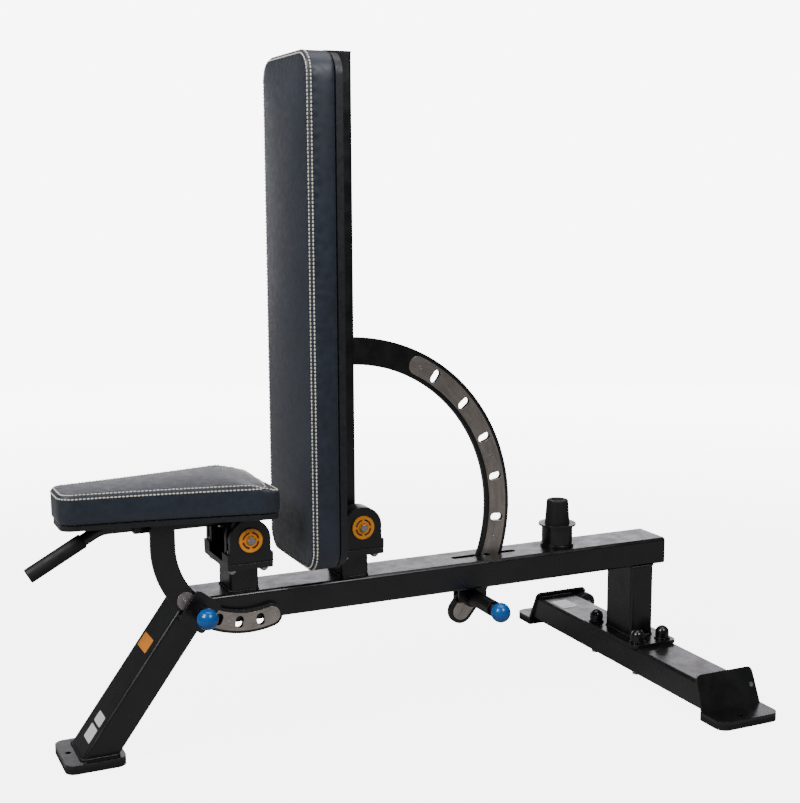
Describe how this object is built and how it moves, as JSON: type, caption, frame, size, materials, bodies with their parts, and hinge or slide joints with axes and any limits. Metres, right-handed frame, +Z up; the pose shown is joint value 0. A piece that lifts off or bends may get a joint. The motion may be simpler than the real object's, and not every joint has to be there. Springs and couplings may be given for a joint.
{
  "type": "adjustable weight bench",
  "caption": "Adjustable weight bench: tilting back and seat pads with curved locking plates and spring pins, tube frame, rubber feet, bumper, wheels and a transport handle.",
  "frame": {"origin": "on the floor, under the middle of the whole bench with the back upright", "axes": "+X runs along the bench from the seat nose to the rear feet, +Y to the far side as one looks at the pins, +Z up"},
  "size_m": [1.4765, 0.856, 1.376],
  "materials": {
    "black_paint": "satin black powder coat",
    "brushed": "brushed stainless, fine grain along the arc",
    "zinc": "zinc plated",
    "rubber": "matt black rubber",
    "cap_black": "satin black plastic",
    "orange": "satin orange plastic with a black broken ring",
    "blue": "glossy blue plastic",
    "vinyl": "dark slate blue vinyl, cream double stitching",
    "board": "plywood with a black backing cloth",
    "wheel": "hard black wheel"
  },
  "bodies": {
    "frame": {"back_bearing_far": "black_paint", "back_bearing_near": "black_paint", "back_pin_barrel": "black_paint", "back_pin_guide": "black_paint", "back_post": "black_paint", "bearing_bolts": "zinc", "bearing_rings": "zinc", "bumper_cup": "black_paint", "bumper_rubber": "rubber", "bumper_screw": "zinc", "flange_bolt_caps": "cap_black", "flange_bolts": "zinc", "front_foot_pad": "rubber", "front_foot_plate": "black_paint", "front_leg": "black_paint", "pin_springs": "zinc", "rear_crossbar": "black_paint", "rear_foot_bracket_far": "black_paint", "rear_foot_bracket_near": "black_paint", "rear_foot_pads": "rubber", "rear_post": "black_paint", "rear_post_flange": "black_paint", "seat_bearing_far": "black_paint", "seat_bearing_near": "black_paint", "seat_pin_barrel": "black_paint", "seat_pin_guide": "black_paint", "seat_post": "black_paint", "spine": "black_paint", "wheel_axles": "zinc"},
    "backrest": {"back_frame": "black_paint", "back_shaft": "zinc", "back_end_caps": "orange", "back_cap_screws": "zinc", "back_arc": "black_paint", "back_arc_insert": "brushed", "back_insert_screws": "zinc", "back_board": "board", "back_cushion": "vinyl", "back_pad_bolts": "zinc"},
    "seat": {"seat_frame": "black_paint", "seat_shaft": "zinc", "seat_end_caps": "orange", "seat_cap_screws": "zinc", "seat_arc": "black_paint", "seat_arc_insert": "brushed", "seat_insert_screws": "zinc", "seat_board": "board", "seat_cushion": "vinyl", "seat_pad_bolts": "zinc", "transport_handle": "black_paint", "handle_grip": "rubber"},
    "back_pin": {"back_plunger": "zinc", "back_knob": "blue"},
    "seat_pin": {"seat_plunger": "zinc", "seat_knob": "blue"},
    "wheel_left": {"wheel_near": "wheel"},
    "wheel_right": {"wheel_far": "wheel"}
  },
  "joints": [
    {"name": "back_tilt", "type": "hinge", "parent": "frame", "child": "backrest", "pos_m": [-0.07525, 0, 0.425], "axis": [0, 1, 0], "range_deg": [0, 90]},
    {"name": "seat_tilt", "type": "hinge", "parent": "frame", "child": "seat", "pos_m": [-0.31525, 0, 0.425], "axis": [0, 1, 0], "range_deg": [0, 45]},
    {"name": "back_pin_slide", "type": "slide", "parent": "frame", "child": "back_pin", "axis": [0, 1, 0], "range_m": [0, 0.012], "stiffness_N_per_m": 400, "springref_m": 0.016},
    {"name": "seat_pin_slide", "type": "slide", "parent": "frame", "child": "seat_pin", "axis": [0, 1, 0], "range_m": [0, 0.012], "stiffness_N_per_m": 400, "springref_m": 0.016},
    {"name": "wheel_left_spin", "type": "hinge", "parent": "frame", "child": "wheel_left", "pos_m": [0.71425, -0.315, 0.054], "axis": [0, 1, 0], "continuous": true},
    {"name": "wheel_right_spin", "type": "hinge", "parent": "frame", "child": "wheel_right", "pos_m": [0.71425, 0.315, 0.054], "axis": [0, 1, 0], "continuous": true}
  ]
}
